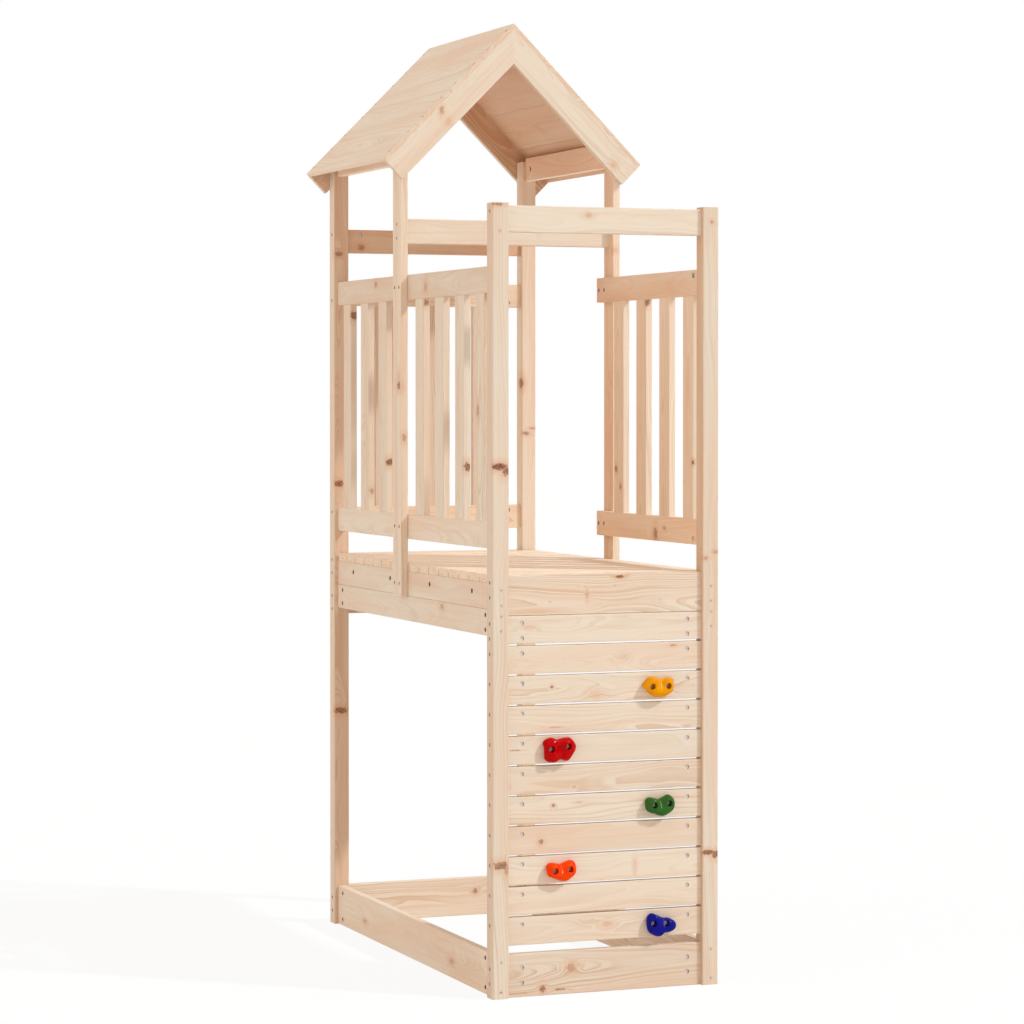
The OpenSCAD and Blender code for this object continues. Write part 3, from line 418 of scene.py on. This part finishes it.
def closed_curve(points):
    """A smooth closed line through the points of an outline, in millimetres."""
    line = []
    for i in range(len(points)):
        a, b, c, d = [Vector(points[(i + k) % len(points)]) for k in (-1, 0, 1, 2)]
        for k in range(CURVE_STEPS):
            t = k / CURVE_STEPS
            line.append(0.5 * (2 * b + (c - a) * t + (2 * a - 5 * b + 4 * c - d) * t ** 2
                               + (3 * b - a - 3 * c + d) * t ** 3))
    return line


def apply_modifier(piece, kind, **settings):
    """Adds a modifier to a piece and makes it part of the mesh."""
    modifier = piece.modifiers.new(kind.lower(), kind)
    for name, value in settings.items():
        setattr(modifier, name, value)
    bpy.ops.object.modifier_apply(modifier=modifier.name)


def bore(piece, x, y, z, radius, depth):
    """Drills a round hole into a piece from the front, as deep as depth behind y."""
    bpy.ops.object.select_all(action="DESELECT")
    bpy.ops.mesh.primitive_cylinder_add(vertices=DRILL_SIDES, radius=radius, depth=depth,
                                        location=(x, y + depth / 2, z), rotation=(radians(90), 0, 0))
    drill = bpy.context.object
    bpy.context.view_layer.objects.active = piece
    apply_modifier(piece, "BOOLEAN", object=drill, operation="DIFFERENCE", solver="EXACT")
    bpy.data.objects.remove(drill)


def plastic(name, colour, deep):
    """Glossy moulded plastic, a little deeper in colour in soft clouds."""
    material, start = new_material(name)
    place = start.node("TexCoord", out="Object")
    cloud = place.noise(PLASTIC_CLOUD, 3.0)
    speck = place.noise(MOULD_SKIN)
    mixed = start.blend(cloud.step(0.35, 0.75) * 0.5, colour, deep)
    relief = start.node("Bump", sockets={"Strength": 0.1, "Distance": 0.0003, "Height": speck + cloud})
    shader = start.node("BsdfPrincipled", sockets={
        "Base Color": mixed, "Roughness": cloud * 0.1 + 0.1, "Specular IOR Level": 0.06,
        "Normal": relief})
    start.node("OutputMaterial", sockets={"Surface": shader})
    return material


def mould_hold(colour_name, board, x, lifted, outline, bolts, scoop_at, colour, deep):
    """Moulds one hold on its board, lifted from the middle, and lets it stand for the plain solid."""
    low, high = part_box(board)
    face = low.y
    z = (low.z + high.z) / 2 + lifted
    line = closed_curve(outline)
    foot = HOLD_RINGS[0][1]
    bpy.ops.object.select_all(action="DESELECT")
    bpy.ops.mesh.primitive_circle_add(vertices=len(line), fill_type="NGON")
    piece = bpy.context.object
    piece.name = "moulded_hold_" + colour_name
    for vertex, point in zip(piece.data.vertices, line):
        vertex.co = (x + point.x / 1000 * foot, face, z + point.y / 1000 * foot)
    bpy.ops.object.mode_set(mode="EDIT")
    bpy.ops.mesh.select_all(action="SELECT")
    for (risen, drawn), (rise, draw) in zip(HOLD_RINGS, HOLD_RINGS[1:]):
        lift = (0, -(rise - risen) * HOLD_HEIGHT, 0)
        bpy.ops.mesh.extrude_region_move(TRANSFORM_OT_translate={"value": lift})
        bpy.ops.transform.resize(value=(draw / drawn, 1, draw / drawn), center_override=(x, face, z))
    bpy.ops.mesh.select_all(action="SELECT")
    bpy.ops.mesh.normals_make_consistent(inside=False)
    bpy.ops.object.mode_set(mode="OBJECT")
    apply_modifier(piece, "REMESH", mode="VOXEL", voxel_size=MOULD_GRAIN)
    for vertex in piece.data.vertices:
        height = (face - vertex.co.y) / HOLD_HEIGHT
        aside = (vertex.co.x - x - scoop_at[0]) / SCOOP_WIDE
        above = (vertex.co.z - z - scoop_at[1]) / SCOOP_TALL
        vertex.co.y += SCOOP * max(height, 0) ** 2 * NATURAL_BASE ** (-aside ** 2 - above ** 2)
    for bolt_x, bolt_z in bolts:
        recess = face - HOLD_FLOOR - RECESS_DRILL
        bore(piece, x + bolt_x, recess, z + bolt_z, RECESS_RADIUS, RECESS_DRILL)
        bore(piece, x + bolt_x, face - SHANK_START, z + bolt_z, SHANK_RADIUS, SHANK_DRILL)
    apply_modifier(piece, "REMESH", mode="VOXEL", voxel_size=MOULD_GRAIN)
    apply_modifier(piece, "SMOOTH", factor=0.5, iterations=8)
    for vertex in piece.data.vertices:
        vertex.co.y = min(vertex.co.y, face)
    bpy.ops.object.shade_smooth()
    piece.data.materials.append(plastic("plastic_" + colour_name, colour, deep))
    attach(piece, "root")
    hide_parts("hold_" + colour_name)


mould_hold("yellow", "climbing_board_03", HOLD_RIGHT - 0.005, -0.0025,
           [(-36, 4), (-22, 21), (-8, 22), (8, 17), (21, 20), (34, 18),
            (36, 2), (33, -10), (17, -20), (-2, -22), (-19, -15), (-28, -4)],
           [(-0.0175, 0.0025), (0.020, 0.0025)], (0.004, 0.015), tone(228, 150, 0), tone(208, 126, 0))
mould_hold("red", "climbing_board_05", HOLD_LEFT - 0.0015, 0.0,
           [(-37, 18), (-21, 26), (-6, 22), (12, 25), (26, 23), (37, 6),
            (29, -12), (17, -25), (0, -22), (-15, -28), (-33, -22), (-35, 0)],
           [(-0.0225, 0.0015), (0.0155, 0.006)], (-0.003, 0.0), tone(186, 0, 2), tone(162, 0, 1))
mould_hold("green", "climbing_board_07", HOLD_RIGHT, -0.002,
           [(-34, 8), (-28, 18), (-14, 17), (-3, 14), (10, 19), (21, 23),
            (32, 13), (33, -5), (21, -17), (4, -23), (-13, -18), (-29, -11)],
           [(-0.017, 0.002), (0.017, 0.005)], (-0.002, 0.012), tone(50, 97, 37), tone(38, 78, 27))
mould_hold("orange", "climbing_board_09", HOLD_LEFT + 0.002, -0.003,
           [(-34, 9), (-26, 18), (-13, 17), (-3, 15), (12, 20), (24, 22),
            (32, 14), (33, -5), (19, -18), (4, -23), (-14, -17), (-29, -10)],
           [(-0.0175, 0.001), (0.0165, 0.0035)], (-0.002, 0.012), tone(240, 66, 2), tone(224, 46, 0))
mould_hold("blue", "climbing_board_11", HOLD_RIGHT + 0.004, -0.003,
           [(-34, 14), (-25, 25), (-12, 22), (3, 15), (19, 13), (32, 4),
            (32, -9), (19, -17), (4, -19), (-6, -26), (-21, -22), (-32, -10)],
           [(-0.0225, 0.004), (0.0075, 0.003)], (0.0, 0.014), tone(18, 18, 130), tone(10, 10, 106))


# Top rails: three planed pine boards on edge that tie the front, roof and back posts together.
# Those at the front and back are bolted and dowelled between their posts, the middle one is screwed.
pine("top_rail_front", FACING_FRONT, (0.004, -0.04), warm=0.15, figure=0.4, wild=0, knots=[
    (-0.040, WALL_FACE, 1.668, 0.009, 0.02, 0.005, 0.4)])
pine("top_rail_roof", FACING_FRONT, (-0.006, -0.05), warm=0.5, light=1.03, figure=0.4)
pine("top_rail_back", FACING_BACK, (0.0, -0.05), warm=0.7, figure=0.4, painted_warm_shade=0.9, wild=0, knots=[
    (-0.1906, 0.532, 1.6426, 0.010, 0.006, 0.009, 0.55)])


# Railings: two pine rails with upright slats dowelled between them, left, right and back of the deck.
# The right one stops at the roof post, which leaves the way on to the deck.
SIDE_SLAT_SPACING = 0.130
BACK_SLAT_SPACING = 0.1265
UPRIGHT_BACK = turn(0, -90, -90)
RIGHT_RAIL_FACE = 0.235
RIGHT_SLAT_FACE = 0.236
pine("railing_left_top_rail", FACING_LEFT, (0.004, -0.07), warm=0.9, light=0.95, figure=0.4, wild=0, knots=[
    (LEFT_FACE, 0.237, 1.5427, 0.006, 0.008, 0.007, 0.6),
    (LEFT_FACE, -0.1095, 1.5269, 0.006, 0.012, 0.012, 0.45)])
pine("railing_left_bottom_rail", FACING_LEFT, (-0.01, -0.075), warm=0.35, light=1.03, figure=0.4)
pine("railing_left_slats", UPRIGHT, (0.004, -0.03), figure=0.5, wild=0,
     spacing=SIDE_SLAT_SPACING, count=8, knots=[
         (-0.2434, 0.4278, 1.4748, 0.009, 0.006, 0.011, 0.9),
         (-0.2432, 0.1678, 1.1283, 0.009, 0.006, 0.009, 0.9),
         (-0.2426, -0.3522, 1.1277, 0.009, 0.006, 0.009, 0.9),
         (-0.2419, 0.2978, 1.0581, 0.006, 0.006, 0.008, 0.5),
         (-0.2437, -0.0922, 1.4905, 0.007, 0.006, 0.007, 0.6),
         (-0.252, -0.488, 1.4962, 0.004, 0.006, 0.010, 0.6),
         (-0.252, -0.4407, 1.25, 0.004, 0.007, 0.016, 0.55)])
pine("railing_right_top_rail", FACING_RIGHT, (0.004, -0.06), warm=0.9, light=1.07, figure=0.3, painted_hole_shade=0.35,
     painted_warm_shade=0.5)
pine("railing_right_bottom_rail", FACING_RIGHT, (-0.01, -0.06), warm=0.8, light=1.19, figure=0.3, painted_hole_shade=0,
     painted_warm_shade=0.45, wild=0, knots=[(RIGHT_RAIL_FACE, -0.28, 0.972, 0.006, 0.011, 0.014, 0.6),
                                (RIGHT_RAIL_FACE, -0.3295, 0.986, 0.004, 0.009, 0.004, 0.5)])
pine("railing_right_slats", UPRIGHT, (0.004, 0.03), warm=0.35, light=1.12, figure=0.5, painted_warm_shade=0.45, wild=0,
     spacing=SIDE_SLAT_SPACING, count=4, knots=[
         (0.2386, -0.2222, 1.4934, 0.008, 0.006, 0.008, 0.65),
         (RIGHT_SLAT_FACE, -0.0509, 1.1127, 0.004, 0.007, 0.008, 0.7),
         (RIGHT_SLAT_FACE, -0.0764, 1.073, 0.004, 0.006, 0.007, 0.6),
         (RIGHT_SLAT_FACE, -0.484, 1.136, 0.004, 0.008, 0.006, 0.9)])
pine("railing_back_top_rail", FACING_BACK, (0.004, -0.05), light=1.13, painted_warm_shade=0)
pine("railing_back_bottom_rail", FACING_BACK, (-0.01, -0.05), warm=0.5, light=1.17, painted_warm_shade=0.3)
pine("railing_back_slats", UPRIGHT_BACK, (0.004, -0.03), spacing=BACK_SLAT_SPACING, count=3)


# Roof: four bevelled pine boards on each slope, screwed to a pair of barge boards at each end
# and to an eave plate along each side.
ROOF_SLOPE = 45
ROOF_BOARD_SPACING = 0.112
BARGE_FACE = -0.006
for side, name in ((-1, "left"), (1, "right")):
    low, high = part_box("roof_boards_" + name)
    reach = max(-low.x, high.x) / 2
    slope_middle = Vector((side * reach, (low.y + high.y) / 2, high.z - reach))
    pine("roof_boards_" + name, turn(-ROOF_SLOPE * side, 0, -90), (0.02, -0.075), warm=0.6, light=1.04,
         figure=0.4, painted_warm_shade=0.9, spacing=ROOF_BOARD_SPACING, count=4, middle=slope_middle)
    pine("barge_board_back_" + name, turn(90, ROOF_SLOPE * side, 0), (0.02, 0.06), warm=0.5,
         painted_hole_shade=0, painted_warm_shade=0.9)
    pine("eave_plate_" + name, (FACING_LEFT, FACING_RIGHT)[side > 0], (0.02, -0.06), warm=0.7, light=1.22,
         figure=0.4, painted_warm_shade=0.8)
pine("barge_board_front_left", turn(90, -ROOF_SLOPE, 0), (0.004, -0.06), figure=0.4, painted_hole_shade=0,
     wild=0, knots=[(-0.1767, BARGE_FACE, 1.9329, 0.006, 0.02, 0.011, 0.5),
                    (-0.1596, BARGE_FACE, 1.9072, 0.006, 0.02, 0.009, 0.3)])
pine("barge_board_front_right", turn(90, ROOF_SLOPE, 0), (0.004, -0.06), warm=0.25, figure=0.4, painted_hole_shade=0,
     wild=0, knots=[(0.2476, BARGE_FACE, 1.8195, 0.008, 0.02, 0.008, 0.35)])


# Fixings: zinc-plated socket bolts, slotted barrel nuts and cross-head screws, all set into the wood.
# The bolts run through the posts into the nuts, and the screws hold the deck and the roof.
# Each climbing hold has two bolts of its own, with nuts behind the board.
# Zinc as it reads in shadow, painted on heads that lie in shade
ZINC_PAINTED_SHADE = tone(92, 78, 72)
ROOF_EAVES = 1.74
# Waves to the metre of the cloudy plating and of the fine brushing
PLATING_CLOUD = (260, 260, 260)
BRUSHING = (2400, 2400, 2400)


def zinc(name, colour, bright):
    """Zinc with painted shade on the roof's screws and on heads that face sideways."""
    material, start = new_material(name)
    place = start.node("TexCoord", out="Object")
    cloud = place.noise(PLATING_CLOUD, 3.0)
    brushed = place.noise(BRUSHING)
    facing = start.node("TexCoord", out="Normal").split()
    sideways = facing[0]
    upwards = facing[2]
    # Painted shade: the roof's screws and the heads that face sideways are darkened as if in shadow
    on_roof = place.split()[2].step(ROOF_EAVES, ROOF_EAVES + 0.01) * upwards.step(0.5, 0.6)
    on_side = sideways.reckon("ABSOLUTE", sideways).step(0.6, 0.9) * 0.85
    painted_shade = on_roof.reckon("MAXIMUM", on_roof, on_side)
    mixed = start.blend(painted_shade, start.blend(cloud.step(0.3, 0.7), colour, bright), ZINC_PAINTED_SHADE)
    relief = start.node("Bump", sockets={"Strength": 0.2, "Distance": 0.0002, "Height": brushed})
    shader = start.node("BsdfPrincipled", sockets={
        "Base Color": mixed, "Metallic": 0.25, "Roughness": cloud * 0.2 + 0.36, "Normal": relief})
    start.node("OutputMaterial", sockets={"Surface": shader})
    return material


nut_zinc = zinc("zinc_nuts", tone(208, 197, 193), tone(220, 210, 206))
for node in ("frame_nuts", "wood_screws", "hold_fixings"):
    dress(node, nut_zinc)
dress("frame_bolts", zinc("zinc_bolts", tone(206, 190, 177), tone(219, 205, 193)))


# Dowels: beech pins turned to size and glued into the ends of boards and slats.
# They keep each joint from turning, and none shows when the frame is together.
PALE_BEECH = tone(226, 192, 152)
BEECH_FLECK = tone(206, 164, 122)
FLECKS = (500, 500, 500)


def beech():
    """Pale wood with fine darker flecks."""
    material, start = new_material("beech")
    place = start.node("TexCoord", out="Object")
    fleck = place.noise(FLECKS)
    colour = start.blend(fleck.step(0.35, 0.7), PALE_BEECH, BEECH_FLECK)
    shader = start.node("BsdfPrincipled", sockets={"Base Color": colour, "Roughness": 0.5 + fleck * 0.2})
    start.node("OutputMaterial", sockets={"Surface": shader})
    return material


dress("dowels", beech())


# Studio: a wide pale floor that fades into a white surround, a lamp from the upper right in front
# of the climbing wall, a broad soft one from the left and a softer one overhead. A bright panel
# beside the first shows only as a gleam on the plastic.
FLOOR_SIZE = 80
FLOOR_DROP = 0.0005
FLOOR_SHADOW = 0.11
PAPER = tone(244, 243, 242)
SKY = 0.55
SKY_COLOUR = (1.0, 0.885, 0.8, 1.0)
WHITE = (1.0, 1.0, 1.0, 1.0)
# Each lamp's power, colour, spread in degrees, the way to it and if it lights matt surfaces too
LAMPS = [(1.89, (0.92, 1.0, 1.08), 2.5, (0.559, -0.478, 0.678), True),
         (0.71, (1.0, 0.95, 0.91), 60, (-0.93, -0.2, 0.3), True),
         (0.5, (1.0, 1.0, 1.0), 90, (0.0, 0.0, 1.0), True),
         (3.2, (1.0, 1.0, 1.0), 11, (0.36, -0.71, 0.6), False)]


def seen_as_background(start):
    """1 where the camera looks straight at the surround or sees it in metal or gloss."""
    path = start.node("LightPath").socket.node.outputs
    seen = Wire(start.tree, path["Is Camera Ray"])
    for ray in ("Is Glossy Ray", "Is Transmission Ray"):
        seen = seen.reckon("MAXIMUM", seen, Wire(start.tree, path[ray]))
    return seen


bpy.ops.object.select_all(action="DESELECT")
bpy.ops.mesh.primitive_plane_add(size=FLOOR_SIZE, location=(0, 0, -FLOOR_DROP))
floor = bpy.context.object
floor.name = "studio_floor"
paper, start = new_material("studio_paper")
matt = start.node("BsdfDiffuse", sockets={"Color": PAPER})
glow = start.node("Emission", sockets={"Color": WHITE, "Strength": 1.0})
white = seen_as_background(start) * (1 - FLOOR_SHADOW)
mixed = start.node("MixShader", sockets={0: white, 1: matt, 2: glow})
start.node("OutputMaterial", sockets={"Surface": mixed})
floor.data.materials.append(paper)

world = bpy.data.worlds.new("studio")
bpy.context.scene.world = world
world.use_nodes = True
world.node_tree.nodes.clear()
start = Wire(world.node_tree)
seen = seen_as_background(start)
colour = start.blend(seen, SKY_COLOUR, WHITE)
sky = start.node("Background", sockets={"Color": colour, "Strength": seen * (1 - SKY) + SKY})
start.node("OutputWorld", sockets={"Surface": sky})

for power, colour, spread, towards, lights_all in LAMPS:
    bpy.ops.object.light_add(type="SUN")
    lamp = bpy.context.object
    lamp.data.energy = power
    lamp.data.color = colour
    lamp.data.angle = radians(spread)
    lamp.visible_diffuse = lights_all
    lamp.rotation_euler = Vector(towards).to_track_quat("Z", "Y").to_euler()


# Camera: from the front left at a child's eye height, with a long lens.
# Colours are shown as they are written, with no film look over them.
CAMERA_PLACE = (-2.7208, -7.0308, 1.275)
CAMERA_TURN = turn(89, 0, -21.136)
LENS = 115.061
SENSOR = 36
FRAME_SHIFT = -0.05456
bpy.ops.object.camera_add(location=CAMERA_PLACE, rotation=CAMERA_TURN)
camera = bpy.context.object
camera.data.lens = LENS
camera.data.sensor_width = SENSOR
camera.data.shift_y = FRAME_SHIFT
bpy.context.scene.camera = camera
bpy.context.scene.view_settings.view_transform = "Standard"
